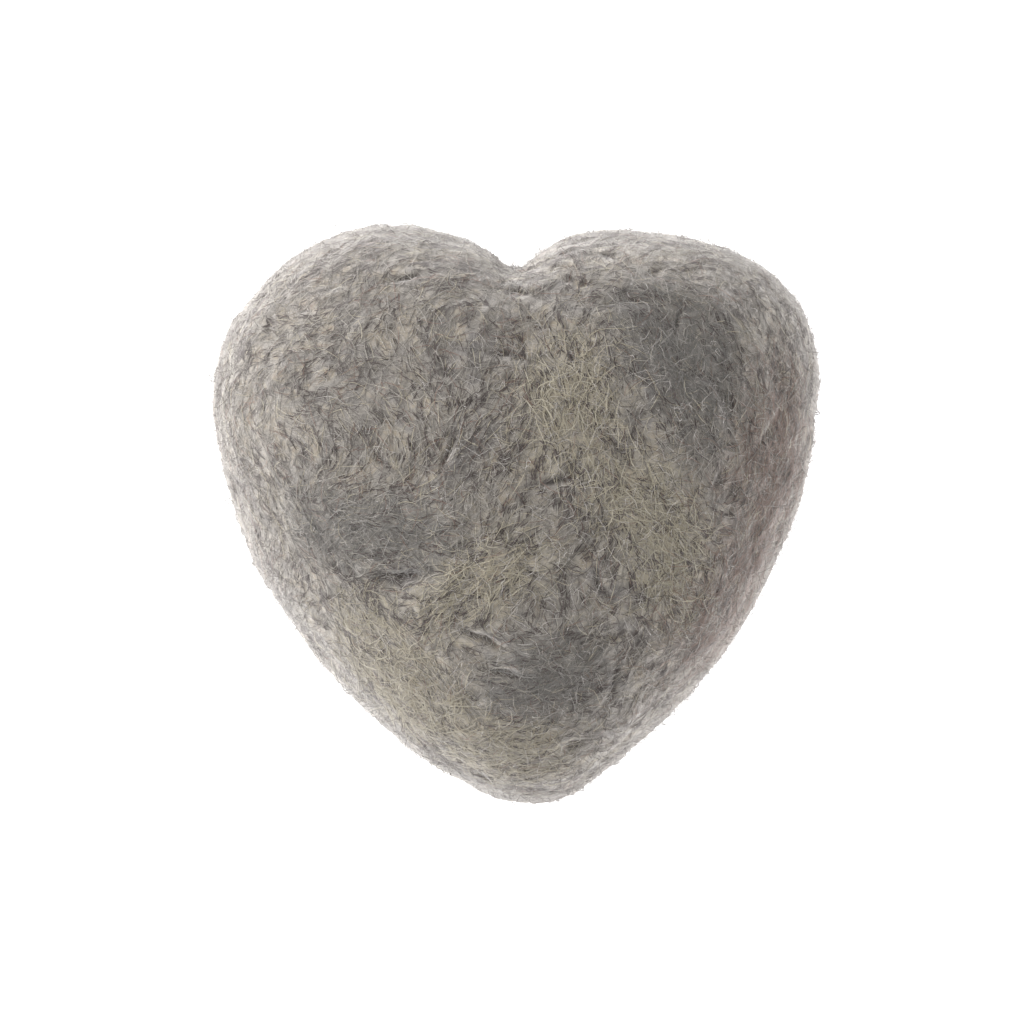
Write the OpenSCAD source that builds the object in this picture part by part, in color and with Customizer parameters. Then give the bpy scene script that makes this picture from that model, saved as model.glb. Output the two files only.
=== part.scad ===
// Heart-shaped dryer ball of solid felted wool, lying on its back.
// +Z is up through the front face, +Y runs from the tip towards the lobes, and the origin
// is on the floor under the middle of the heart's outline.

/* [Left lobe] */
// Left lobe's centre, across from the middle of the drawing
left_lobe_x = -14.5; // [-15.5:0.5:-13.5]
// Left lobe's centre, up from the middle of the drawing
left_lobe_y = 12.5; // [11.5:0.5:13.5]
// Left lobe's radius
left_lobe_r = 22.5; // [21.5:0.5:23]

/* [Right lobe] */
// Centre of the right lobe's crown, beside the cleft, across
right_crown_x = 11.5; // [11:0.5:12.5]
// Centre of the right lobe's crown, up
right_crown_y = 20.5; // [20:0.5:21.5]
// Radius of the right lobe's crown
right_crown_r = 14; // [13:0.5:14.5]
// Centre of the right lobe's outer shoulder, across
right_shoulder_x = 20.5; // [20:0.5:22]
// Centre of the right lobe's outer shoulder, up
right_shoulder_y = 16.5; // [15.5:0.5:17]
// Radius of the right lobe's outer shoulder
right_shoulder_r = 16.5; // [15.5:0.5:17]

/* [Tip and flanks] */
// Centre of the tip's rounding, across
tip_x = 1.5; // [0:0.5:3]
// Centre of the tip's rounding, up
tip_y = -23.5; // [-25:0.5:-22]
// Radius of the tip's rounding
tip_r = 12; // [10:0.5:13]
// Radius of the left flank, from the lobe to the tip
left_flank_r = 62; // [55:1:90]
// Radius of the right flank, from the tip to the shoulder
right_flank_r = 62; // [55:1:90]
// Radius of the right lobe's top, from the shoulder to the crown
right_top_r = 42; // [35:1:60]
// Radius of the hollow between the lobes
cleft_r = 4; // [3:0.5:6]

/* [Thickness] */
// Height of the widest section above the floor
rim_height = 21; // [19:0.5:23]
// Height of the front face above the widest section
front_height = 23.5; // [20:0.5:26]
// Flat place on the back that the heart rests on, as a share of the outline
rest_share = 0.4; // [0.3:0.05:0.5]
// Fullness of the faces, where 2 is an ellipse and more is squarer
fullness = 2.3; // [2:0.1:2.8]

/* [Layers] */
// Thickness of the outer coat
coat_thickness = 2.2; // [1.5:0.1:2.5]
// Thickness of the outer batt, under the coat
outer_batt_thickness = 3; // [2:0.5:3.5]
// Thickness of the inner batt, round the core
inner_batt_thickness = 4; // [3:0.5:5]

/* [Surface locks] */
// Thickness of a lock of wool at its middle
lock_thickness = 0.9; // [0.5:0.1:1.2]
// Thickness of a lock of wool at its edge
lock_edge = 0.15; // [0.1:0.05:0.3]

/* [Hidden] */
// A lock is [middle across, middle up, heading, length, width, bow to its left].
CREAM_LOCKS = [
    [6, 12.5, 100, 14, 8, 1],
    [16, -1.5, -58, 18, 7, 2],
    [-4, -7.5, 31, 14, 4.5, 1],
    [-13.5, -19.5, -50, 18, 7, -1.5],
    [-1, -28, -4, 11, 5.5, 1]
];
CHARCOAL_LOCKS = [
    [20, 18.5, -60, 18, 9, 1.5],
    [-17, -2.5, -8, 18, 6, -1],
    [4, -19, 6, 12, 6, 1]
];
BROWN_LOCKS = [
    [31, 6, 82, 16, 5, 1],
    [25.5, -10.5, 62, 15, 4.5, 1]
];

CORE_NODES = ["core_left_lobe", "core_tip", "core_right_lobe"];
LAYER_NODES = [
    "inner_batt_front", "inner_batt_back",
    "outer_batt_front", "outer_batt_back",
    "coat_front", "coat_back"
];

FRONT = 1;
BACK = -1;
arc_step = 14;        // most degrees of an arc between two points of the outline
arc_chord = 6;        // most millimetres between two points of the outline
ring_count = 7;       // rings of points from the middle of a face to the rim
cleft_fade = 2;       // how fast the cleft dies away from the rim, a power of the share
filled_top_r = 80;    // radius of the top where the cleft has died away
lock_gap = 0.2;       // room between a lock and the flat facets of the coat under it
lock_steps = 8;       // steps along a lock
lock_rows = 4;        // steps across a lock
lock_blunt = 0.25;    // width of a lock's end, as a share of its full width
core_cuts = [90, 205, 322];   // directions of the walls between the core's three wads

// ---- Outline: circles at the corners, joined by tangent arcs ----

// Corners run anticlockwise, each [x, y, radius].
CORNERS = [
    [left_lobe_x, left_lobe_y, left_lobe_r],
    [tip_x, tip_y, tip_r],
    [right_shoulder_x, right_shoulder_y, right_shoulder_r],
    [right_crown_x, right_crown_y, right_crown_r]
];
// The radius that joins each corner to the next one. A negative radius is a hollow.
BRIDGES = [left_flank_r, right_flank_r, right_top_r, -cleft_r];
// The same outline with the cleft filled: the shoulder is joined straight to the left lobe.
FILLED_CORNERS = [CORNERS[0], CORNERS[1], CORNERS[2]];
FILLED_BRIDGES = [left_flank_r, right_flank_r, filled_top_r];

function centre_of(corner) = [corner[0], corner[1]];
function heading(from, to) = atan2(to.y - from.y, to.x - from.x);
function turn(from, to) = (to - from + 720) % 360;

// Where two circles cross, on the left (side 1) or right (side -1) of the line from a to b.
function circles_cross(a, ra, b, rb, side) =
    let (
        gap = norm(b - a),
        dir = (b - a) / gap,
        along = (ra * ra - rb * rb + gap * gap) / (2 * gap)
    )
    a + along * dir + side * sqrt(ra * ra - along * along) * [-dir.y, dir.x];

// Centre of the arc that touches corners a and b. It lies inside the outline unless it is a hollow.
function bridge_centre(a, b, r) =
    r > 0
        ? circles_cross(centre_of(a), r - a[2], centre_of(b), r - b[2], 1)
        : circles_cross(centre_of(a), a[2] - r, centre_of(b), b[2] - r, -1);

// Points of an arc, without its end, which begins the next arc.
function arc_points(centre, r, start, sweep) =
    let (count = ceil(max(abs(sweep) / arc_step, abs(sweep) * PI / 180 * r / arc_chord)))
    [for (k = [0:count - 1]) centre + r * [cos(start + sweep * k / count), sin(start + sweep * k / count)]];

// Direction from a corner's centre to the point where a bridge touches it.
function touch_heading(corner, middle, r) =
    r > 0 ? heading(middle, centre_of(corner)) : heading(centre_of(corner), middle);

function corner_points(corners, bridges, i) =
    let (
        n = len(corners),
        here = corners[i],
        before = (i + n - 1) % n,
        arrive = bridge_centre(corners[before], here, bridges[before]),
        leave = bridge_centre(here, corners[(i + 1) % n], bridges[i]),
        start = touch_heading(here, arrive, bridges[before])
    )
    arc_points(centre_of(here), here[2], start, turn(start, touch_heading(here, leave, bridges[i])));

function bridge_points(corners, bridges, i) =
    let (
        here = corners[i],
        next = corners[(i + 1) % len(corners)],
        r = bridges[i],
        middle = bridge_centre(here, next, r),
        start = heading(middle, centre_of(here)),
        end = heading(middle, centre_of(next))
    )
    arc_points(middle, abs(r), start, r > 0 ? turn(start, end) : -turn(end, start));

function chain_points(corners, bridges) =
    [for (i = [0:len(corners) - 1])
        each concat(corner_points(corners, bridges, i), bridge_points(corners, bridges, i))];

function span_middle(values) = (min(values) + max(values)) / 2;

DRAWN = chain_points(CORNERS, BRIDGES);
DRAWN_MIDDLE = [span_middle([for (p = DRAWN) p.x]), span_middle([for (p = DRAWN) p.y])];
// The middle of the domed faces, from which the outline is measured as [direction, distance].
HUB = [0, 2];
function as_polar(p) = let (q = p - DRAWN_MIDDLE - HUB) [atan2(q.y, q.x), norm(q)];
RIM = [for (p = DRAWN) as_polar(p)];
FILLED = [for (p = chain_points(FILLED_CORNERS, FILLED_BRIDGES)) as_polar(p)];

// A table of distances by direction, repeated so that it has no seam at half a turn.
function wrapped(polar) = [for (lap = [-360, 0, 360]) each [for (p = polar) [p[0] + lap, p[1]]]];
RIM_TABLE = wrapped(RIM);
FILLED_TABLE = wrapped(FILLED);

// ---- Felt surface: a direction, a share of the way out to the rim, and a depth ----

half_width = (max([for (p = DRAWN) p.x]) - min([for (p = DRAWN) p.x])) / 2;
batt_depth = coat_thickness + outer_batt_thickness;     // how deep the outer batt reaches
core_depth = batt_depth + inner_batt_thickness;         // how deep the inner batt reaches
// The back is drawn a little below the floor, which cuts the resting place flat.
back_height = rim_height / dome(rest_share);

function dome(share) = pow(1 - pow(min(share, 1), fullness), 1 / fullness);
function face_height(face) = face == FRONT ? front_height : back_height;

// The cleft is full at the rim and dies away towards the middle of a face.
function span_at(angle, share) =
    let (
        filled = lookup(angle, FILLED_TABLE),
        rim = lookup(angle, RIM_TABLE)
    )
    filled + (rim - filled) * pow(share, cleft_fade);
function reach(angle, share) = share * span_at(angle, share);

function surface_point(face, angle, share, depth) =
    let (
        plan = reach(angle, share) * (1 - depth / half_width),
        rise = dome(share) * (face_height(face) - depth)
    )
    [HUB.x + plan * cos(angle), HUB.y + plan * sin(angle), rim_height + face * rise];

function ring_share(k) = sin(90 * k / ring_count);
function ring(face, k, depth, angles) =
    [for (a = angles) surface_point(face, a, ring_share(k), depth)];
function rings(face, depth, angles) = [for (k = [1:ring_count]) each ring(face, k, depth, angles)];

// Two triangles for each step between two rows of points. With flip they face the other way.
function strip(a, b, count, closed, flip) =
    [for (i = [0:count - (closed ? 1 : 2)])
        let (j = (i + 1) % count)
        each flip
            ? [[a + i, b + i, a + j], [a + j, b + i, b + j]]
            : [[a + i, a + j, b + i], [a + j, b + j, b + i]]];
function fan(pole, first, count, closed, flip) =
    [for (i = [0:count - (closed ? 1 : 2)])
        let (j = (i + 1) % count)
        flip ? [pole, first + i, first + j] : [pole, first + j, first + i]];
function cap(pole, first, count, closed, flip) =
    concat(
        fan(pole, first, count, closed, flip),
        [for (k = [0:ring_count - 2])
            each strip(first + k * count, first + (k + 1) * count, count, closed, flip)]
    );

// ---- Sub-parts ----

// One half of a wrap of wool, between two depths, open at the rim where the other half meets it.
module half_wrap(face, outer_depth, inner_depth) {
    angles = [for (p = RIM) p[0]];
    n = len(angles);
    inner = 1 + ring_count * n;
    back = face == BACK;
    points = concat(
        [surface_point(face, 0, 0, outer_depth)], rings(face, outer_depth, angles),
        [surface_point(face, 0, 0, inner_depth)], rings(face, inner_depth, angles)
    );
    polyhedron(points, concat(
        cap(0, 1, n, true, back),
        cap(inner, inner + 1, n, true, !back),
        strip(inner - n, 2 * inner - n, n, true, back)
    ));
}

// Cuts away what would reach below the floor.
module above_floor() {
    slab = 4 * half_width;
    difference() {
        children();
        translate([-slab / 2, -slab / 2, -slab]) cube(slab);
    }
}

function rim_index(angle) =
    let (gaps = [for (p = RIM) min(turn(p[0], angle), turn(angle, p[0]))])
    search(min(gaps), gaps)[0];

// A wedge of the core between two directions, closed by flat walls that meet on the heart's axis.
module core_wad(from, to) {
    first = rim_index(from);
    last = rim_index(to) + (rim_index(to) > first ? 0 : len(RIM));
    angles = [for (i = [first:last]) RIM[i % len(RIM)][0]];
    n = len(angles);
    rim_row = 1 + (ring_count - 1) * n;
    back_pole = rim_row + n;
    back_row = back_pole + 1;
    points = concat(
        [surface_point(FRONT, 0, 0, core_depth)], rings(FRONT, core_depth, angles),
        [surface_point(BACK, 0, 0, core_depth)],
        [for (k = [1:ring_count - 1]) each ring(BACK, k, core_depth, angles)]
    );
    function front_edge(side) = [for (k = [0:ring_count - 1]) 1 + k * n + side];
    function back_edge(side) = [for (k = [ring_count - 2:-1:0]) back_row + k * n + side];
    polyhedron(points, concat(
        cap(0, 1, n, false, false),
        fan(back_pole, back_row, n, false, true),
        [for (k = [0:ring_count - 3]) each strip(back_row + k * n, back_row + (k + 1) * n, n, false, true)],
        strip(back_row + (ring_count - 2) * n, rim_row, n, false, true),
        [concat([0], front_edge(0), back_edge(0), [back_pole])],
        [concat([back_pole], [for (i = [0:ring_count - 2]) back_row + i * n + n - 1],
            [for (k = [ring_count - 1:-1:0]) 1 + k * n + n - 1], [0])]
    ));
}

// The share of the way to the rim at a distance from the hub, by repeated correction.
function share_at(angle, distance, share = 0.7, tries = 5) =
    tries == 0 ? share : share_at(angle, distance, distance / span_at(angle, share), tries - 1);

function on_front(p, depth) =
    let (q = p - HUB, angle = atan2(q.y, q.x))
    surface_point(FRONT, angle, share_at(angle, norm(q)), depth);

// A flat lock of wool that lies on the front, thick in the middle and thin at its edges.
module lock(spec) {
    middle = [spec[0], spec[1]];
    along = [cos(spec[2]), sin(spec[2])];
    across = [-along.y, along.x];
    function plan(u, v) =
        let (width = spec[4] * (lock_blunt + (1 - lock_blunt) * sqrt(1 - u * u)))
        middle + u * spec[3] / 2 * along + (v * width / 2 - u * u * spec[5]) * across;
    function puff(u, v) = lock_edge + (lock_thickness - lock_edge) * (1 - u * u) * (1 - v * v);
    grid = [for (i = [0:lock_steps]) for (j = [0:lock_rows]) [2 * i / lock_steps - 1, 2 * j / lock_rows - 1]];
    row = lock_rows + 1;
    under = len(grid);
    points = concat(
        [for (g = grid) on_front(plan(g[0], g[1]), -lock_gap - puff(g[0], g[1]))],
        [for (g = grid) on_front(plan(g[0], g[1]), -lock_gap)]
    );
    function sheet(start, flip) =
        [for (i = [0:lock_steps - 1]) each strip(start + i * row, start + (i + 1) * row, row, false, flip)];
    edge = concat(
        [for (j = [0:lock_rows - 1]) j],
        [for (i = [0:lock_steps - 1]) lock_rows + i * row],
        [for (j = [lock_rows:-1:1]) lock_steps * row + j],
        [for (i = [lock_steps:-1:1]) i * row]
    );
    walls = [for (k = [0:len(edge) - 1])
        let (a = edge[k], b = edge[(k + 1) % len(edge)])
        each [[a, under + a, b], [b, under + a, under + b]]];
    polyhedron(points, concat(sheet(0, false), sheet(under, true), walls));
}

module core_left_lobe() { color("DarkKhaki") core_wad(core_cuts[0], core_cuts[1]); }
module core_tip() { color("Khaki") core_wad(core_cuts[1], core_cuts[2]); }
module core_right_lobe() { color("Tan") core_wad(core_cuts[2], core_cuts[0]); }

module inner_batt_front() { color("Wheat") half_wrap(FRONT, batt_depth, core_depth); }
module inner_batt_back() { color("BurlyWood") half_wrap(BACK, batt_depth, core_depth); }
module outer_batt_front() { color("Silver") half_wrap(FRONT, coat_thickness, batt_depth); }
module outer_batt_back() { color("DarkGray") half_wrap(BACK, coat_thickness, batt_depth); }
module coat_front() { color("#8c867d") half_wrap(FRONT, 0, coat_thickness); }
module coat_back() { color("#857f77") above_floor() half_wrap(BACK, 0, coat_thickness); }

module cream_lock(i) { color("#b9b39c") lock(CREAM_LOCKS[i]); }
module charcoal_lock(i) { color("#5f5f60") lock(CHARCOAL_LOCKS[i]); }
module brown_lock(i) { color("#7d675c") lock(BROWN_LOCKS[i]); }

core_left_lobe();
core_tip();
core_right_lobe();
inner_batt_front();
inner_batt_back();
outer_batt_front();
outer_batt_back();
coat_front();
coat_back();
for (i = [0:len(CREAM_LOCKS) - 1])
    cream_lock(i);
for (i = [0:len(CHARCOAL_LOCKS) - 1])
    charcoal_lock(i);
for (i = [0:len(BROWN_LOCKS) - 1])
    brown_lock(i);
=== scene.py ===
"""Looks of the heart-shaped felted wool dryer ball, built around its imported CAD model.

The outer coat is a matted wool shell. Real fibres lie along it in swirls, and a short pale fuzz stands off
it. Each cream, charcoal or brown lock of the CAD model becomes a combed tuft of fibres. The core and the
batts inside get felted forms of their own. Everything is in metres, in the CAD frame, and nothing moves.
"""

import math

import bpy
import numpy as np
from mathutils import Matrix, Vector, noise
from mathutils.bvhtree import BVHTree


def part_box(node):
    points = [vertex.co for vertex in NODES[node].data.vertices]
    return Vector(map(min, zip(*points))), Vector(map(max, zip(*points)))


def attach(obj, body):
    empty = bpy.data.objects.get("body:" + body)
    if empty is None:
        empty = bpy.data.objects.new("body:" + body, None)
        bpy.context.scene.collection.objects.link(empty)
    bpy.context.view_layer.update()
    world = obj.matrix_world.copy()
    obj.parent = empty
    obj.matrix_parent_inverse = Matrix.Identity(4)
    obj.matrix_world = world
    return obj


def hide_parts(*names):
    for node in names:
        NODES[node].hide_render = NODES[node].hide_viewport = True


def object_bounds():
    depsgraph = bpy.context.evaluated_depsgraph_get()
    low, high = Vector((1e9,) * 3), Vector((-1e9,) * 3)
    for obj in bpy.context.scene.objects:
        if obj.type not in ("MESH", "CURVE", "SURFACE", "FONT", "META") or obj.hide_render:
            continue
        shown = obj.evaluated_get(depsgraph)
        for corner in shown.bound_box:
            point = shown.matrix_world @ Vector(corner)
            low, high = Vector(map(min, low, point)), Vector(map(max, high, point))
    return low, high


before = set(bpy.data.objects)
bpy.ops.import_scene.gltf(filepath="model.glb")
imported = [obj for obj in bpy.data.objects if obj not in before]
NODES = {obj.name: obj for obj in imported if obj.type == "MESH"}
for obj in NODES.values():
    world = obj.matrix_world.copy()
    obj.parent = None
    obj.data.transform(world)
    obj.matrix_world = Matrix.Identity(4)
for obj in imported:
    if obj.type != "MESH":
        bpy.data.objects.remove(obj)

MM = 0.001
CAD_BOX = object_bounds()
rng = np.random.default_rng(20)

# ---- Places, all from the CAD frame ----

COAT_NODES = ["coat_front", "coat_back"]
BATT_NODES = ["outer_batt_front", "outer_batt_back", "inner_batt_front", "inner_batt_back"]
CORE_NODES = sorted(name for name in NODES if name.startswith("core_"))
LOCK_NODES = sorted(name for name in NODES if "_lock_" in name)
WIDTH = CAD_BOX[1][0] - CAD_BOX[0][0]
RIM_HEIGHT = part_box("coat_back")[1].z

# ---- Arrays, meshes and noise ----

UP = np.array([0.0, 0.0, 1.0])


def unit(vectors):
    return vectors / np.maximum(np.linalg.norm(vectors, axis=-1, keepdims=True), 1e-12)


def dot(a, b):
    return (a * b).sum(axis=-1, keepdims=True)


def ramp(values, low, high):
    """0 below low, 1 above high, and smooth between them."""
    t = np.clip((values - low) / (high - low), 0, 1)
    return t * t * (3 - 2 * t)


def mesh_arrays(obj):
    """Vertex places and triangles of a mesh object."""
    mesh = obj.data
    mesh.calc_loop_triangles()
    places = np.empty(len(mesh.vertices) * 3)
    mesh.vertices.foreach_get("co", places)
    triangles = np.empty(len(mesh.loop_triangles) * 3, dtype=np.int64)
    mesh.loop_triangles.foreach_get("vertices", triangles)
    return places.reshape(-1, 3), triangles.reshape(-1, 3)


def vertex_normals(obj):
    normals = np.empty(len(obj.data.vertices) * 3)
    obj.data.vertices.foreach_get("normal", normals)
    return normals.reshape(-1, 3)


def triangle_object(name, places, triangles):
    """A smooth-shaded object made straight from arrays of points and triangles."""
    mesh = bpy.data.meshes.new(name)
    mesh.vertices.add(len(places))
    mesh.vertices.foreach_set("co", places.ravel())
    mesh.loops.add(triangles.size)
    mesh.loops.foreach_set("vertex_index", triangles.ravel())
    mesh.polygons.add(len(triangles))
    mesh.polygons.foreach_set("loop_start", np.arange(0, triangles.size, 3))
    mesh.polygons.foreach_set("use_smooth", np.ones(len(triangles), dtype=bool))
    mesh.update(calc_edges=True)
    obj = bpy.data.objects.new(name, mesh)
    bpy.context.scene.collection.objects.link(obj)
    return obj


def stacked(meshes):
    """Several (points, triangles) pairs as one pair."""
    places, triangles, count = [], [], 0
    for points, corners in meshes:
        places.append(points)
        triangles.append(corners + count)
        count += len(points)
    return np.vstack(places), np.vstack(triangles)


def with_modifiers(obj, *modifiers):
    """Adds modifiers, each a type and its settings, and applies them all to the mesh."""
    for kind, settings in modifiers:
        modifier = obj.modifiers.new(kind.lower(), kind)
        for name, value in settings.items():
            setattr(modifier, name, value)
    evaluated = obj.evaluated_get(bpy.context.evaluated_depsgraph_get())
    mesh = bpy.data.meshes.new_from_object(evaluated)
    obj.modifiers.clear()
    obj.data = mesh
    mesh.polygons.foreach_set("use_smooth", np.ones(len(mesh.polygons), dtype=bool))
    return obj


def search_tree(*meshes):
    places, triangles = stacked(meshes)
    return BVHTree.FromPolygons(places.tolist(), triangles.tolist())


def distances(tree, points):
    return np.array([tree.find_nearest(Vector(p))[3] for p in points])


def nearest(tree, points):
    """The nearest places on a tree's surface, and the surface's normals there."""
    found = [tree.find_nearest(Vector(p)) for p in points]
    return np.array([f[0] for f in found]), np.array([f[1] for f in found])


def noise_at(points, wavelength, seed):
    """Smooth noise from about -1 to 1 at each point."""
    shift = Vector((17.3, 5.1, 9.7)) * seed
    return np.array([noise.noise(Vector(p) / wavelength + shift) for p in points])


def noise_vectors(points, wavelength, seed):
    """Three separate noises at each point, as a vector. Blender's own vector noise differs between runs."""
    return np.stack([noise_at(points, wavelength, seed + offset) for offset in (0.0, 0.31, 0.67)], axis=1)


# ---- Tufts: where each lock lies, and which way ----

LOCK_TREES = {name: search_tree(mesh_arrays(NODES[name])) for name in LOCK_NODES}
# How far each wool spreads past its locks.
TUFT_REACH = {"cream": 3.2 * MM, "charcoal": 3.2 * MM, "brown": 6 * MM}
COMBED_REACH = 5 * MM                 # how far a tuft turns the fibres round it
SWIRL = 12 * MM                       # size of the broad swirls in which the wool lies
SWIRL_SEED = 7


def wool_of_lock(name):
    return name.split("_")[0]


def long_axis(name):
    """The direction in which a lock is longest."""
    points, _ = mesh_arrays(NODES[name])
    return np.linalg.svd(points - points.mean(axis=0), full_matrices=False)[2][0]


def tuft_share(points, wool, seed):
    """How strongly a wool's tufts show at each point: 1 on one of its locks, fading unevenly around it."""
    ragged = 1 + 0.7 * noise_at(points, 3 * MM, seed)
    own = [LOCK_TREES[name] for name in LOCK_NODES if wool_of_lock(name) == wool]
    distance = np.min([distances(tree, points) for tree in own], axis=0)
    return 1 - ramp(distance / (TUFT_REACH[wool] * ragged), 0.0, 1.6)


def combed(points, normals):
    """Directions along the surface: round the rim, in broad swirls, and along each tuft that is near."""
    flow = noise_vectors(points, SWIRL, SWIRL_SEED)
    steepness = 1 - np.abs(normals[:, 2:])
    flow += 0.9 * steepness * unit(np.cross(UP, normals))
    for name in LOCK_NODES:
        axis = long_axis(name)
        share = 1 - ramp(distances(LOCK_TREES[name], points), 0, COMBED_REACH)
        flow += 1.3 * share[:, None] * np.sign(dot(flow, axis)) * axis
    return unit(flow - dot(flow, normals) * normals)


# ---- Relief of the matted surface ----

# Folds between tufts on the front, sunk into the felt and darkened with painted shade: x, y in mm, heading in
# degrees, then length, width and depth in mm.
FOLDS = [
    (-13.0, -7.2, 8, 6.0, 1.5, 1.4),
    (-3.8, -14.2, -25, 5.5, 0.8, 0.7),
    (-1.0, -18.3, -12, 4.5, 0.9, 0.7),
    (1.9, -6.5, -35, 3.0, 0.8, 0.6),
    (9.7, -7.8, -62, 5.0, 0.9, 0.7),
    (11.0, -19.8, 76, 5.0, 0.8, 0.4),
    (6.7, -26.9, 22, 2.4, 1.3, 0.6),
    (12.1, 7.2, -52, 4.5, 1.0, 0.7),
    (4.9, 3.8, 12, 4.5, 0.8, 0.6),
    (24.6, 8.0, -10, 2.4, 0.9, 0.4),
    (29.3, 9.2, 58, 4.0, 0.9, 0.3),
    (12.9, 24.6, 14, 4.5, 0.9, 0.4),
    (18.6, 22.0, 80, 2.8, 1.0, 0.6),
    (0.8, 25.6, -12, 3.5, 0.9, 0.6),
    (-0.6, 18.2, -10, 6.0, 0.8, 0.5),
    (-7.7, 6.9, 68, 3.6, 0.9, 0.7),
    (-15.2, 6.1, -42, 3.2, 0.8, 0.6),
    (-12.8, 27.4, 10, 3.6, 0.8, 0.5),
]

# The notch between the lobes, cut to its full depth: x, y, half width, half length and depth, in mm.
CLEFT = (0.0, 31.5, 1.9, 3.0, 1.2)


def fold_share(points, x, y, heading, length, width):
    """1 along the middle of a fold, fading to 0 across it and at its ends, with a wavering line."""
    turn = math.radians(heading)
    across_x, across_y = points[:, 0] - x * MM, points[:, 1] - y * MM
    along = across_x * math.cos(turn) + across_y * math.sin(turn)
    across = across_y * math.cos(turn) - across_x * math.sin(turn)
    across = across + 0.5 * MM * noise_at(points, 2.5 * MM, 6)
    on_front = ramp(points[:, 2], RIM_HEIGHT, RIM_HEIGHT + 4 * MM)
    return on_front * np.exp(-(2 * along / (length * MM)) ** 2 - (2 * across / (width * MM)) ** 2)


def streaked(points, wavelength, seed):
    """Noise drawn out along the swirls of the wool."""
    along = unit(noise_vectors(points, SWIRL, SWIRL_SEED)) * 0.7 * wavelength
    drawn_out = [noise_at(points + step * along, wavelength, seed) for step in (-2, -1, 0, 1, 2)]
    return 1.5 * np.mean(drawn_out, axis=0)


def marl_at(points):
    """How pale the wool is at each point, from about -1 to 1, in streaks along the swirls."""
    return 0.35 * noise_at(points, 6 * MM, 11) + 1.1 * streaked(points, 1.5 * MM, 12)


def relief(points):
    """Height of the felt above its smooth form, and how hollow it is there, from 0 to 1; the coat's colour is
    darkened by that hollowness as painted shade.
    """
    lumps = noise_at(points, 13 * MM, 1)
    clumps = noise_at(points, 5 * MM, 2)
    grain = streaked(points, 1.5 * MM, 3)
    inland = ramp(np.abs(points[:, 2] - RIM_HEIGHT), 4 * MM, 14 * MM)
    pits = ramp(streaked(points, 2.0 * MM, 5), 0.28, 0.62) * inland
    height = 0.50 * lumps + 0.24 * clumps + 0.20 * grain - 0.26 * pits
    hollow = 0.8 * pits
    for x, y, heading, length, width, depth in FOLDS:
        share = fold_share(points, x, y, heading, length, width)
        height -= depth * share
        hollow += 1.2 * share
    x, y, width, length, depth = CLEFT
    across, along = (points[:, 0] / MM - x) / width, (points[:, 1] / MM - y) / length
    height -= depth * np.exp(-across ** 2 - along ** 2)
    above_floor = ramp(points[:, 2], 0.2 * MM, 3 * MM)
    return height * above_floor * MM, np.clip(hollow, 0, 1)


# ---- The coat ----

FELT_VOXEL = 0.9 * MM                 # size of the voxels that felt is remeshed with
WELD_GAP = 0.01 * MM                  # points nearer than this become one
SKIN_INSET = 0.25 * MM                # room for the fibres inside the CAD outline
LINING_REACH = 0.5 * MM               # the coat's lining is nearer than this to the batts


def coat_sides():
    """The coat's outer and inner surfaces, each (points, triangles), without the joint round the rim."""
    batts = search_tree(*(mesh_arrays(NODES[name]) for name in BATT_NODES[:2]))
    outer, inner = [], []
    for name in COAT_NODES:
        points, triangles = mesh_arrays(NODES[name])
        outside = distances(batts, points) > LINING_REACH
        outer.append((points, triangles[outside[triangles].all(axis=1)]))
        inner.append((points, triangles[~outside[triangles].any(axis=1)]))
    return stacked(outer), stacked(inner)


def felt_coat(name):
    """The coat as one matted shell, with relief outside and a plain lining, and its outer skin alone."""
    outer, inner = coat_sides()
    skin = with_modifiers(
        triangle_object(name + "_skin", *outer),
        ("WELD", {"merge_threshold": WELD_GAP}),
        ("REMESH", {"mode": "VOXEL", "voxel_size": FELT_VOXEL}),
        ("SMOOTH", {"factor": 0.6, "iterations": 10}),
        ("SUBSURF", {"levels": 1}),
    )
    lining = with_modifiers(
        triangle_object(name + "_lining", *inner),
        ("WELD", {"merge_threshold": WELD_GAP}),
    )
    points, triangles = mesh_arrays(skin)
    height, _ = relief(points)
    points = points + vertex_normals(skin) * (height - SKIN_INSET * ramp(points[:, 2], 0, 2 * MM))[:, None]
    coat = triangle_object(name, *stacked([(points, triangles), mesh_arrays(lining)]))
    for spare in (skin, lining):
        bpy.data.objects.remove(spare)
    return coat, (points, triangles)


# ---- Fibres ----

LYING_STATIONS, STANDING_STATIONS = 7, 6        # points along a fibre
LYING_CURL, STANDING_CURL = 2.5 * MM, 1.2 * MM  # the radius that fibres usually bend to
ROOTED = 0.04                         # how far a lying fibre's ends reach into the coat, in mm


def surface_samples(mesh, count):
    """Points spread evenly at random over a (points, triangles) pair, with the normals there."""
    points, triangles = mesh
    corners = points[triangles]
    normals = np.cross(corners[:, 1] - corners[:, 0], corners[:, 2] - corners[:, 0])
    areas = np.linalg.norm(normals, axis=1)
    chosen = rng.choice(len(triangles), size=count, p=areas / areas.sum())
    a, b = rng.random((2, count, 1))
    folded = a + b > 1
    a, b = np.where(folded, 1 - a, a), np.where(folded, 1 - b, b)
    origin, first, second = corners[chosen, 0], corners[chosen, 1], corners[chosen, 2]
    return origin + a * (first - origin) + b * (second - origin), unit(normals[chosen])


def bundled(seeds, normals, count, spread):
    """Each seed as a bundle of seeds, spread over the surface round it."""
    seeds, normals = np.repeat(seeds, count, axis=0), np.repeat(normals, count, axis=0)
    shifts = rng.normal(0, spread, seeds.shape)
    return seeds + shifts - dot(shifts, normals) * normals, normals


def turned(directions, normals, angles):
    """Directions turned about their normals."""
    angles = np.asarray(angles).reshape(-1, 1)
    return np.cos(angles) * directions + np.sin(angles) * np.cross(normals, directions)


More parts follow.
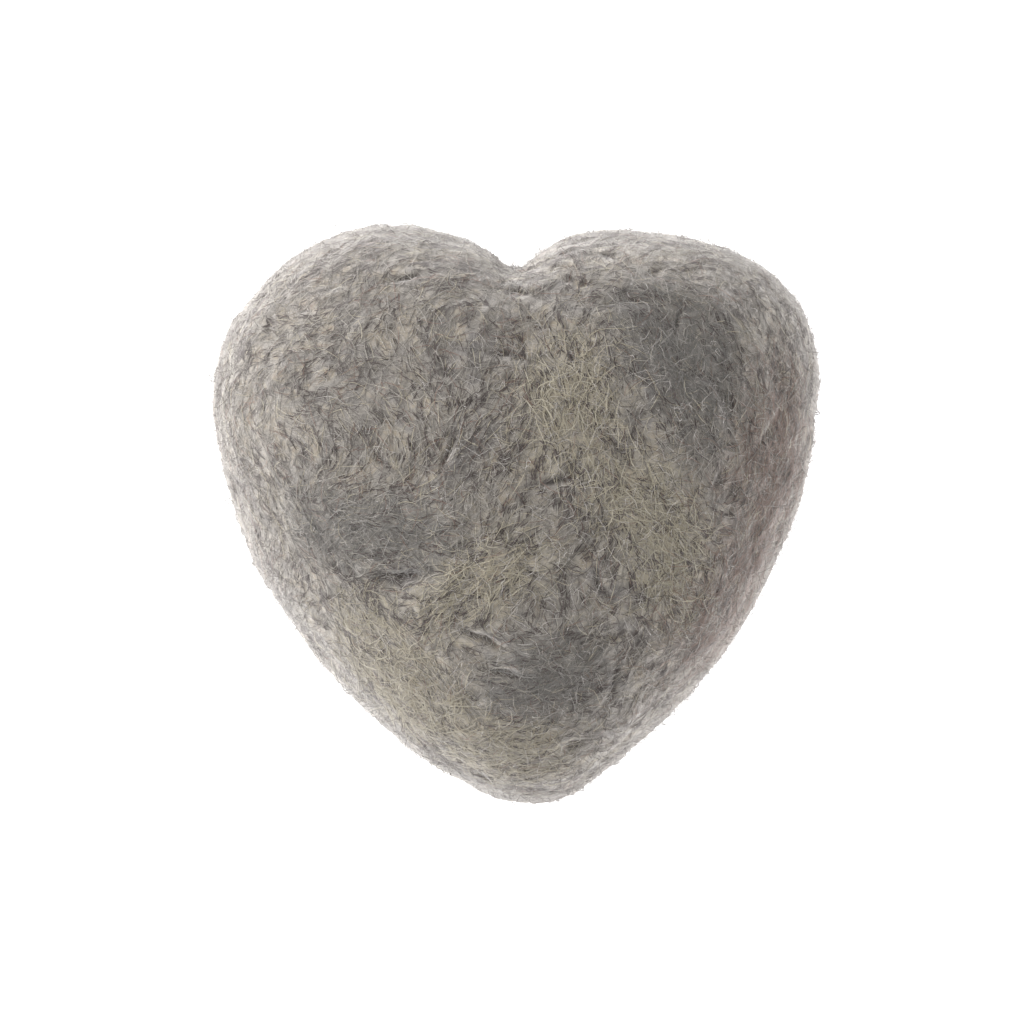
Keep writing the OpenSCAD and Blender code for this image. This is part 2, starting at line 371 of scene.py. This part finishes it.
def walk(places, normals, directions, lengths, curls, stations):
    """Paths that follow the coat from the places given. Each bends by its own curl, in a slow wave."""
    steps = lengths / (stations - 1)
    phases = rng.uniform(0, 2 * math.pi, len(places))
    path, ups = [places], [normals]
    for station in range(stations - 1):
        wave = 1 + 0.9 * np.sin(phases + station * 1.1)
        directions = turned(directions, normals, curls * wave * steps)
        places, normals = nearest(SKIN_TREE, places + directions * steps[:, None])
        directions = unit(directions - dot(directions, normals) * normals)
        path.append(places)
        ups.append(normals)
    return np.stack(path, axis=1), np.stack(ups, axis=1)


def tubes(path, ups, radii):
    """Closed three-sided tubes along the paths, each tapering to a point at both ends.

    Returns points, triangles, the coat's normal at each point, and how many points a tube has.
    """
    fibres, stations, _ = path.shape
    along = unit(np.gradient(path, axis=1))
    side = unit(np.cross(along, ups))
    over = np.cross(side, along)
    middle = slice(1, stations - 1)
    share = np.linspace(0, 1, stations)[middle]
    thickness = radii[:, None] * (0.45 + 0.55 * np.sin(math.pi * share))
    corners = []
    for angle in (math.pi / 2, math.pi * 7 / 6, math.pi * 11 / 6):
        spoke = math.cos(angle) * side[:, middle] + math.sin(angle) * over[:, middle]
        corners.append(path[:, middle] + thickness[..., None] * spoke)
    rings = np.stack(corners, axis=2).reshape(fibres, -1, 3)
    places = np.concatenate([path[:, :1], rings, path[:, -1:]], axis=1)
    each = places.shape[1]
    faces = []
    for corner in range(3):
        following = (corner + 1) % 3
        faces.append([0, 1 + corner, 1 + following])
        faces.append([each - 1, each - 4 + following, each - 4 + corner])
        for ring in range(stations - 3):
            here, there = 1 + 3 * ring, 4 + 3 * ring
            faces.append([here + corner, there + corner, here + following])
            faces.append([here + following, there + corner, there + following])
    triangles = np.array(faces)[None] + (np.arange(fibres) * each)[:, None, None]
    normals = np.concatenate([ups[:, :1], np.repeat(ups[:, middle], 3, axis=1), ups[:, -1:]], axis=1)
    return places.reshape(-1, 3), triangles.reshape(-1, 3), normals.reshape(-1, 3), each


def lying_fibres(seeds, normals, stray, lengths, arch, radius):
    """Fibres that lie on the coat and arch a little off it, with both ends felted in.

    Each runs either way along the combed direction, so no place that the wool flows out of is left bare.
    """
    count = len(seeds)
    directions = turned(combed(seeds, normals), normals, rng.normal(0, stray, count))
    directions *= rng.choice((-1, 1), (count, 1))
    curls = rng.normal(0, 1 / LYING_CURL, count)
    path, ups = walk(seeds, normals, directions, rng.uniform(*lengths, count) * MM, curls, LYING_STATIONS)
    height = rng.gamma(1.5, arch, (count, 1)) * np.sin(math.pi * np.linspace(0, 1, LYING_STATIONS)) - ROOTED
    return path + height[..., None] * MM * ups, ups, rng.uniform(*radius, count) * MM


def standing_fibres(seeds, normals, length, rise, radius):
    """Fine fibres with one end felted in, which stand off the coat at a slant, by no more than their rise."""
    count = len(seeds)
    directions = turned(combed(seeds, normals), normals, rng.uniform(-math.pi, math.pi, count))
    long = rng.gamma(3.0, length / 3, count) * MM
    slants = rng.uniform(0.15, 1.1, count)
    curls = rng.normal(0, 1 / STANDING_CURL, count)
    path, ups = walk(seeds, normals, directions, long * np.cos(slants), curls, STANDING_STATIONS)
    height = (long * np.sin(slants))[:, None] * np.linspace(0, 1, STANDING_STATIONS) ** 1.2 - 0.05 * MM
    height = np.minimum(height, rise * MM)
    return path + height[..., None] * ups, ups, rng.uniform(*radius, count) * MM


# ---- Materials ----

def linear(colour):
    """A colour given as the 0 to 255 values it shows as, in Blender's linear values."""
    return tuple(((c / 255 + 0.055) / 1.055) ** 2.4 for c in colour) + (1.0,)


def add(tree, kind, inputs, **settings):
    """Adds a node with its settings, and sets or links its inputs, given by name or number."""
    made = tree.nodes.new(kind)
    for name, value in settings.items():
        setattr(made, name, value)
    for socket, value in inputs.items():
        if isinstance(value, bpy.types.NodeSocket):
            tree.links.new(value, made.inputs[socket])
        else:
            made.inputs[socket].default_value = value
    return made


def noise_value(tree, wavelength, seed, detail=2.0, distortion=0.0):
    """Noise from 0 to 1 over the object, with the wavelength in metres."""
    place = add(tree, "ShaderNodeTexCoord", {}).outputs["Object"]
    shift = (0.37 * seed, 0.11 * seed, 0.23 * seed)
    moved = add(tree, "ShaderNodeVectorMath", {0: place, 1: shift}, operation="ADD").outputs[0]
    inputs = {"Vector": moved, "Scale": 1 / wavelength, "Detail": detail, "Distortion": distortion}
    return add(tree, "ShaderNodeTexNoise", inputs).outputs["Fac"]


def ranged(tree, value, start, end, low, high):
    """Maps start to low and end to high, smoothly."""
    inputs = {"Value": value, "From Min": start, "From Max": end, "To Min": low, "To Max": high}
    return add(tree, "ShaderNodeMapRange", inputs, interpolation_type="SMOOTHSTEP").outputs["Result"]


def maths(tree, operation, *values):
    return add(tree, "ShaderNodeMath", dict(enumerate(values)), operation=operation).outputs[0]


def curled_lines(tree, wavelength, seed, thickness):
    """1 on thin curled lines, like the fibres of felt seen close up, and 0 between them."""
    value = noise_value(tree, wavelength, seed, detail=2.0, distortion=2.5)
    off_line = maths(tree, "ABSOLUTE", maths(tree, "SUBTRACT", value, 0.5))
    return ranged(tree, off_line, 0.0, thickness, 1.0, 0.0)


def mixed(tree, share, first, second):
    """One colour over another, each a node's output or a shown 0 to 255 colour."""
    first, second = (c if isinstance(c, bpy.types.NodeSocket) else linear(c) for c in (first, second))
    return add(tree, "ShaderNodeMix", {0: share, 6: first, 7: second}, data_type="RGBA").outputs[2]


def colour_ramp(tree, value, stops):
    """A colour ramp with stops at the given (place, shown colour) pairs."""
    node = add(tree, "ShaderNodeValToRGB", {"Fac": value})
    elements = node.color_ramp.elements
    while len(elements) < len(stops):
        elements.new(0.5)
    for element, (place, colour) in zip(elements, stops):
        element.position = place
        element.color = linear(colour)
    return node.outputs["Color"]


def attribute(tree, name):
    return add(tree, "ShaderNodeAttribute", {}, attribute_name=name).outputs["Fac"]


def painted_edge_sheen(tree, colour):
    """Painted sheen: mixes a pale colour into the felt's colour where it is seen edge-on, so it looks paler
    there.
    """
    facing = add(tree, "ShaderNodeLayerWeight", {"Blend": 0.5}).outputs["Facing"]
    share = maths(tree, "MULTIPLY", maths(tree, "POWER", facing, 1.6), 0.36)
    return mixed(tree, share, colour, PAINTED_SHEEN_COLOUR)


def wool_material(name, colour_of, relief_of=None, sheen=0.3, matted=True):
    """A wool material from a function that builds its colour, and one that builds its relief, if any."""
    material = bpy.data.materials.new(name)
    material.use_nodes = True
    tree = material.node_tree
    shader = tree.nodes["Principled BSDF"]
    colour = colour_of(tree)
    # where matted, a painted pale sheen goes into Base Color where the surface is seen edge-on
    tree.links.new(painted_edge_sheen(tree, colour) if matted else colour, shader.inputs["Base Color"])
    rough_noise = noise_value(tree, 1.5 * MM, 31)
    tree.links.new(ranged(tree, rough_noise, 0.3, 0.7, 0.8, 1.0), shader.inputs["Roughness"])
    shader.inputs["Sheen Weight"].default_value = sheen
    shader.inputs["Sheen Roughness"].default_value = 0.6
    shader.inputs["Specular IOR Level"].default_value = 0.2
    if relief_of:
        bump = add(tree, "ShaderNodeBump", {"Strength": 0.4, "Distance": 0.1 * MM, "Height": relief_of(tree)})
        tree.links.new(bump.outputs["Normal"], shader.inputs["Normal"])
    return material


MARL = [(0.32, (84, 81, 79)), (0.42, (106, 102, 98)), (0.50, (124, 119, 112)), (0.58, (134, 125, 110)),
        (0.68, (116, 102, 92))]
TINTS = {"cream": (160, 152, 134), "charcoal": (104, 102, 99), "brown": (110, 89, 79)}
# the pale colour of the painted edge sheen
PAINTED_SHEEN_COLOUR = (238, 231, 227)
# the last of these is painted shade for the hollows and folds, the middle one painted shade for dark gaps
# between fibres
PALE_LINE, PAINTED_GAP_SHADE, PAINTED_HOLLOW_SHADE = (144, 138, 131), (72, 67, 63), (52, 47, 43)


def felt_lines(tree):
    """Three layers of curled lines, the finest on top."""
    return [curled_lines(tree, size * MM, seed, 0.022) for size, seed in ((4.4, 41), (3.4, 42), (2.6, 43))]


def felt_relief(tree):
    height = noise_value(tree, 0.7 * MM, 44, detail=3.0, distortion=1.0)
    for line in felt_lines(tree):
        height = maths(tree, "MAXIMUM", height, line)
    return height


def coat_colour(tree):
    """Marled greys with the tufts' wools worked in, and over them curled lines, then painted shade as dark
    flecks between fibres and in the hollows.
    """
    fine = noise_value(tree, 1.2 * MM, 51, detail=4.0, distortion=0.8)
    marl = maths(tree, "MULTIPLY_ADD", attribute(tree, "marl"), 0.7, maths(tree, "MULTIPLY", fine, 0.3))
    colour = colour_ramp(tree, marl, MARL)
    for wool, tint in TINTS.items():
        colour = mixed(tree, maths(tree, "MULTIPLY", attribute(tree, wool), 0.55), colour, tint)
    for line in felt_lines(tree):
        colour = mixed(tree, maths(tree, "MULTIPLY", line, 0.4), colour, PALE_LINE)
    # painted shade: dark curled flecks where gaps between the fibres look dark
    flecks = maths(tree, "MULTIPLY", curled_lines(tree, 3.0 * MM, 45, 0.03),
                   ranged(tree, noise_value(tree, 2.2 * MM, 46), 0.45, 0.62, 0.0, 0.8))
    colour = mixed(tree, flecks, colour, PAINTED_GAP_SHADE)
    # painted shade: the coat darkens where it is hollow
    return mixed(tree, maths(tree, "MULTIPLY", attribute(tree, "hollow"), 0.85), colour, PAINTED_HOLLOW_SHADE)


SHADES = {
    "light": [(0.0, (134, 129, 122)), (0.5, (148, 143, 135)), (1.0, (164, 159, 151))],
    "grey": [(0.0, (104, 99, 94)), (0.5, (118, 113, 107)), (1.0, (132, 127, 120))],
    "dark": [(0.0, (68, 63, 60)), (0.5, (84, 78, 74)), (1.0, (100, 94, 90))],
    "cream": [(0.0, (146, 137, 119)), (0.5, (164, 156, 137)), (1.0, (181, 174, 157))],
    "charcoal": [(0.0, (92, 90, 87)), (0.5, (113, 110, 106)), (1.0, (138, 135, 130))],
    "brown": [(0.0, (94, 75, 66)), (0.5, (116, 94, 84)), (1.0, (140, 119, 108))],
    "pale": [(0.0, (124, 118, 113)), (0.5, (140, 134, 129)), (1.0, (164, 157, 152))],
    # dark strands that stand in for shaded gaps between fibres: painted shade
    "gap": [(0.0, (58, 51, 48)), (0.5, (77, 69, 66)), (1.0, (98, 90, 86))],
}


def strand_colour(wool):
    """Colour of fibres of one wool: each has its own shade, which varies a little along it."""
    def build(tree):
        along = noise_value(tree, 0.9 * MM, 61)
        varied = maths(tree, "MULTIPLY", along, 0.2)
        shade = maths(tree, "MULTIPLY_ADD", attribute(tree, "strand"), 0.8, varied)
        return colour_ramp(tree, shade, SHADES[wool])
    return build


def inner_colour(dark, light):
    """Plain undyed filling wool, streaked between two shades."""
    def build(tree):
        streaks = noise_value(tree, 4 * MM, 71, detail=4.0, distortion=1.0)
        colour = colour_ramp(tree, streaks, [(0.35, dark), (0.65, light)])
        for line in felt_lines(tree):
            colour = mixed(tree, maths(tree, "MULTIPLY", line, 0.3), colour, light)
        return colour
    return build


COAT_WOOL = wool_material("coat_wool", coat_colour, relief_of=felt_relief, sheen=0.4)
BATT_WOOL = wool_material("batt_wool", inner_colour((168, 160, 145), (212, 206, 193)), relief_of=felt_relief)
CORE_WOOL = wool_material("core_wool", inner_colour((140, 134, 124), (190, 184, 172)), relief_of=felt_relief)
STRANDS = {
    # every wool but the pale fuzz gets the painted edge sheen
    wool: wool_material(wool + "_strands", strand_colour(wool), matted=wool != "pale")
    for wool in SHADES
}

# ---- Making the pieces ----

MOST_TRIANGLES = 190_000              # in one piece of fibres
FIBRES_ON_COAT = 60_000
FUZZ_ON_COAT = 22_000
STRAYS_ON_COAT = 7_000
FLECKS_ON_COAT = 4_200
STRANDS_OF_FLECK = 5
FLECK_SPREAD = 0.2 * MM               # how far a fleck's strands lie from its middle
FIBRES_PER_LOCK_MM2 = 6
FIBRE_RADIUS = (0.026, 0.044)         # least and most, in mm

# The share of each wool in the matted fibres, and how that grows with the marl. Brown makes up the rest.
WOOL_SHARES = {"light": (0.38, 0.8), "grey": (0.34, -0.2), "dark": (0.14, -0.5), "cream": (0.07, 0.0)}


def fibre_pieces(name, wool, fibres, lying=True):
    """One object of fibres of one wool, or several numbered ones where one would be too large.

    Lying fibres are shaded with the coat's normals, as a mat of wool is, and not each as a little rod.
    """
    path, ups, radii = fibres
    triangles_each = 6 * (path.shape[1] - 2)
    parts = math.ceil(len(path) * triangles_each / MOST_TRIANGLES)
    made = []
    for number, part in enumerate(np.array_split(np.arange(len(path)), parts), start=1):
        places, triangles, coat_normals, each = tubes(path[part], ups[part], radii[part])
        places[:, 2] = np.maximum(places[:, 2], 0)
        piece = triangle_object(name if parts == 1 else f"{name}_{number}", places, triangles)
        if lying:
            piece.data.normals_split_custom_set_from_vertices(coat_normals)
        strand = piece.data.attributes.new("strand", "FLOAT", "POINT")
        strand.data.foreach_set("value", np.repeat(rng.random(len(part)), each))
        piece.data.materials.append(STRANDS[wool])
        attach(piece, "root")
        made.append(piece)
    return made


def felted_filling(name):
    """An inner CAD solid as felt: rounded, slightly rough, and just inside its own space."""
    points, triangles = mesh_arrays(NODES[name])
    piece = with_modifiers(
        triangle_object("felt_" + name, points, triangles),
        ("REMESH", {"mode": "VOXEL", "voxel_size": FELT_VOXEL}),
        ("SMOOTH", {"factor": 0.5, "iterations": 3}),
    )
    points, _ = mesh_arrays(piece)
    rough = 0.16 + 0.08 * noise_at(points, 3 * MM, 8) + 0.05 * noise_at(points, 1.2 * MM, 9)
    piece.data.vertices.foreach_set("co", (points - vertex_normals(piece) * rough[:, None] * MM).ravel())
    piece.data.materials.append(BATT_WOOL if name in BATT_NODES else CORE_WOOL)
    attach(piece, "root")
    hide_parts(name)


def make_coat():
    """Makes the coat with its colours, and returns its outer skin, on which the fibres lie."""
    coat, skin = felt_coat("wool_coat")
    points, _ = mesh_arrays(coat)
    shown = {wool: tuft_share(points, wool, seed) for seed, wool in enumerate(TINTS, start=21)}
    # how hollow the coat is, which its material darkens as painted shade
    shown["hollow"] = relief(points)[1]
    shown["marl"] = 0.5 + 0.25 * marl_at(points)
    for name, values in shown.items():
        coat.data.attributes.new(name, "FLOAT", "POINT").data.foreach_set("value", values)
    coat.data.materials.append(COAT_WOOL)
    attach(coat, "root")
    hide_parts(*COAT_NODES)
    return skin


def make_matted_fibres():
    """The fibres that lie all over the coat, with fewer roots in its hollows."""
    seeds, normals = surface_samples(SKIN, FIBRES_ON_COAT)
    kept = rng.random(FIBRES_ON_COAT) > 0.9 * relief(seeds)[1]
    seeds, normals = seeds[kept], normals[kept]
    marl = marl_at(seeds)
    draw = rng.random(len(seeds))
    shares = np.stack([share + growth * marl for share, growth in WOOL_SHARES.values()], axis=1)
    wool_number = (draw[:, None] > np.cumsum(np.clip(shares, 0.02, 1), axis=1)).sum(axis=1)
    for number, wool in enumerate([*WOOL_SHARES, "brown"]):
        own = wool_number == number
        fibres = lying_fibres(seeds[own], normals[own], 0.4, (2.0, 5.0), 0.08, FIBRE_RADIUS)
        fibre_pieces(wool + "_fibres", wool, fibres)


def make_tuft(name):
    """A combed tuft of fibres in place of a CAD lock, spread unevenly past the lock's edges."""
    wool = wool_of_lock(name)
    lock = mesh_arrays(NODES[name])
    corners = lock[0][lock[1]]
    crosses = np.cross(corners[:, 1] - corners[:, 0], corners[:, 2] - corners[:, 0])
    area_of_one_side = np.linalg.norm(crosses, axis=1).sum() / 4
    count = int(FIBRES_PER_LOCK_MM2 * area_of_one_side / MM ** 2)
    spread = surface_samples(lock, count)[0] + rng.normal(0, 0.5 * TUFT_REACH[wool], (count, 3))
    seeds, normals = nearest(SKIN_TREE, spread)
    fibres = lying_fibres(seeds, normals, 0.25, (2.5, 6.0), 0.13, FIBRE_RADIUS)
    pieces = fibre_pieces(name.replace("lock", "tuft"), wool, fibres)
    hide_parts(name)


def make_flecks():
    """Short dark flecks, each a small bundle of dark strands laid where gaps between fibres look dark:
    painted shade.
    """
    middles = surface_samples(SKIN, FLECKS_ON_COAT)
    seeds, normals = bundled(*middles, STRANDS_OF_FLECK, FLECK_SPREAD)
    fibres = lying_fibres(seeds, normals, 0.15, (0.8, 2.0), 0.09, (0.04, 0.08))
    fibre_pieces("dark_flecks", "gap", fibres)


def make_standing_hairs(name, wool, count, length, rise, radius):
    seeds, normals = surface_samples(SKIN, count)
    fibre_pieces(name, wool, standing_fibres(seeds, normals, length, rise, radius), lying=False)


SKIN = make_coat()
SKIN_TREE = search_tree(SKIN)
for name in BATT_NODES + CORE_NODES:
    felted_filling(name)
make_matted_fibres()
for name in LOCK_NODES:
    make_tuft(name)
make_flecks()
make_standing_hairs("pale_fuzz", "pale", FUZZ_ON_COAT, 1.1, 1.2, (0.011, 0.019))
make_standing_hairs("stray_hairs", "grey", STRAYS_ON_COAT, 2.5, 1.8, (0.020, 0.030))

# ---- Floor, light and camera ----

VIEW_WIDTH = 1.681 * WIDTH            # what the picture spans at the heart's widest section
VIEW_OFFSET = (-0.4 * MM, 0.3 * MM)
LENS = 100.0
SENSOR = 36.0
HORIZON, ZENITH = 3.65, 0.48           # brightness of the light tent round the heart, and above it


def studio_floor():
    corners = np.array([[-2, -2, 0], [2, -2, 0], [2, 2, 0], [-2, 2, 0]], dtype=float)
    floor = triangle_object("floor", corners, np.array([[0, 1, 2], [0, 2, 3]]))
    material = bpy.data.materials.new("pale_floor")
    material.use_nodes = True
    shader = material.node_tree.nodes["Principled BSDF"]
    shader.inputs["Base Color"].default_value = (0.9, 0.9, 0.9, 1)
    shader.inputs["Roughness"].default_value = 0.9
    shader.inputs["Emission Color"].default_value = (1, 1, 1, 1)
    shader.inputs["Emission Strength"].default_value = 1.2
    floor.data.materials.append(material)


def studio_light():
    world = bpy.data.worlds.new("studio")
    world.use_nodes = True
    tree = world.node_tree
    direction = add(tree, "ShaderNodeTexCoord", {}).outputs["Generated"]
    height = add(tree, "ShaderNodeSeparateXYZ", {0: direction}).outputs["Z"]
    background = tree.nodes["Background"]
    background.inputs["Color"].default_value = (1, 1, 1, 1)
    tree.links.new(ranged(tree, height, 0.0, 0.6, HORIZON, ZENITH), background.inputs["Strength"])
    bpy.context.scene.world = world
    middle = Vector((0, 0, RIM_HEIGHT))
    for name, place, size, power in (
        ("key_light", (-0.55, 0.22, 0.38), 0.5, 6.0),
        ("fill_light", (0.40, -0.25, 0.50), 0.5, 1.6),
    ):
        data = bpy.data.lights.new(name, "AREA")
        data.shape = "DISK"
        data.size = size
        data.energy = power
        lamp = bpy.data.objects.new(name, data)
        lamp.location = place
        lamp.rotation_euler = (middle - lamp.location).to_track_quat("-Z", "Y").to_euler()
        bpy.context.scene.collection.objects.link(lamp)


def camera_above():
    data = bpy.data.cameras.new("camera")
    data.sensor_width = SENSOR
    data.lens = LENS
    camera = bpy.data.objects.new("camera", data)
    camera.location = (*VIEW_OFFSET, RIM_HEIGHT + VIEW_WIDTH * LENS / SENSOR)
    bpy.context.scene.collection.objects.link(camera)
    bpy.context.scene.camera = camera


studio_floor()
studio_light()
camera_above()
bpy.context.scene.view_settings.view_transform = "Standard"
